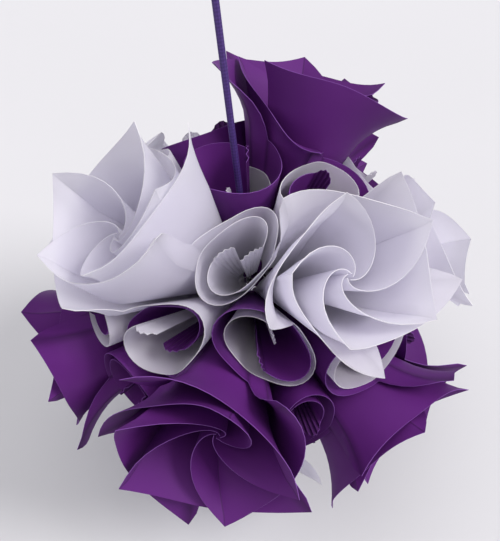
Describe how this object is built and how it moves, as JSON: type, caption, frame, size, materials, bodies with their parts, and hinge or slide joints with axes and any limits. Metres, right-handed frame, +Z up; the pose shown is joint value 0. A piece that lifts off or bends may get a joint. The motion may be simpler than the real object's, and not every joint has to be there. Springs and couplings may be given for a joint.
{
  "type": "kusudama paper ball",
  "caption": "Hanging kusudama ball of folded purple and white paper roses, joined by rolled paper cones, on a thin knotted cord with a loop.",
  "frame": {"origin": "inside top of the cord's loop, where a hook holds it", "axes": "+Z up along the cord, -Y towards the viewer of the picture's front, +X to the viewer's right"},
  "size_m": [0.1889, 0.1894, 0.2589],
  "materials": {
    "white_paper": "matte white paper",
    "purple_paper": "matte purple paper",
    "purple_cord": "dark purple braided cord"
  },
  "bodies": {
    "root": {"hanging_cord": "purple_cord", "hanging_loop": "purple_cord", "purple_rose_1_sheet_1": "purple_paper", "purple_rose_1_sheet_2": "purple_paper", "purple_rose_1_sheet_3": "purple_paper", "purple_rose_1_sheet_4": "purple_paper", "purple_rose_1_sheet_5": "purple_paper", "purple_rose_2_sheet_1": "purple_paper", "purple_rose_2_sheet_2": "purple_paper", "purple_rose_2_sheet_3": "purple_paper", "purple_rose_2_sheet_4": "purple_paper", "purple_rose_2_sheet_5": "purple_paper", "purple_rose_3_sheet_1": "purple_paper", "purple_rose_3_sheet_2": "purple_paper", "purple_rose_3_sheet_3": "purple_paper", "purple_rose_3_sheet_4": "purple_paper", "purple_rose_3_sheet_5": "purple_paper", "purple_rose_4_sheet_1": "purple_paper", "purple_rose_4_sheet_2": "purple_paper", "purple_rose_4_sheet_3": "purple_paper", "purple_rose_4_sheet_4": "purple_paper", "purple_rose_4_sheet_5": "purple_paper", "purple_rose_5_sheet_1": "purple_paper", "purple_rose_5_sheet_2": "purple_paper", "purple_rose_5_sheet_3": "purple_paper", "purple_rose_5_sheet_4": "purple_paper", "purple_rose_5_sheet_5": "purple_paper", "purple_rose_6_sheets": "purple_paper", "stopper_knot": "purple_cord", "white_rose_1_sheet_1": "white_paper", "white_rose_1_sheet_2": "white_paper", "white_rose_1_sheet_3": "white_paper", "white_rose_1_sheet_4": "white_paper", "white_rose_1_sheet_5": "white_paper", "white_rose_2_sheet_1": "white_paper", "white_rose_2_sheet_2": "white_paper", "white_rose_2_sheet_3": "white_paper", "white_rose_2_sheet_4": "white_paper", "white_rose_2_sheet_5": "white_paper", "white_rose_3_sheet_1": "white_paper", "white_rose_3_sheet_2": "white_paper", "white_rose_3_sheet_3": "white_paper", "white_rose_3_sheet_4": "white_paper", "white_rose_3_sheet_5": "white_paper", "white_rose_4_sheet_1": "white_paper", "white_rose_4_sheet_2": "white_paper", "white_rose_4_sheet_3": "white_paper", "white_rose_4_sheet_4": "white_paper", "white_rose_4_sheet_5": "white_paper", "white_rose_5_sheet_1": "white_paper", "white_rose_5_sheet_2": "white_paper", "white_rose_5_sheet_3": "white_paper", "white_rose_5_sheet_4": "white_paper", "white_rose_5_sheet_5": "white_paper", "white_rose_6_sheet_1": "white_paper", "white_rose_6_sheet_2": "white_paper", "white_rose_6_sheet_3": "white_paper", "white_rose_6_sheet_4": "white_paper", "white_rose_6_sheet_5": "white_paper"}
  },
  "joints": []
}
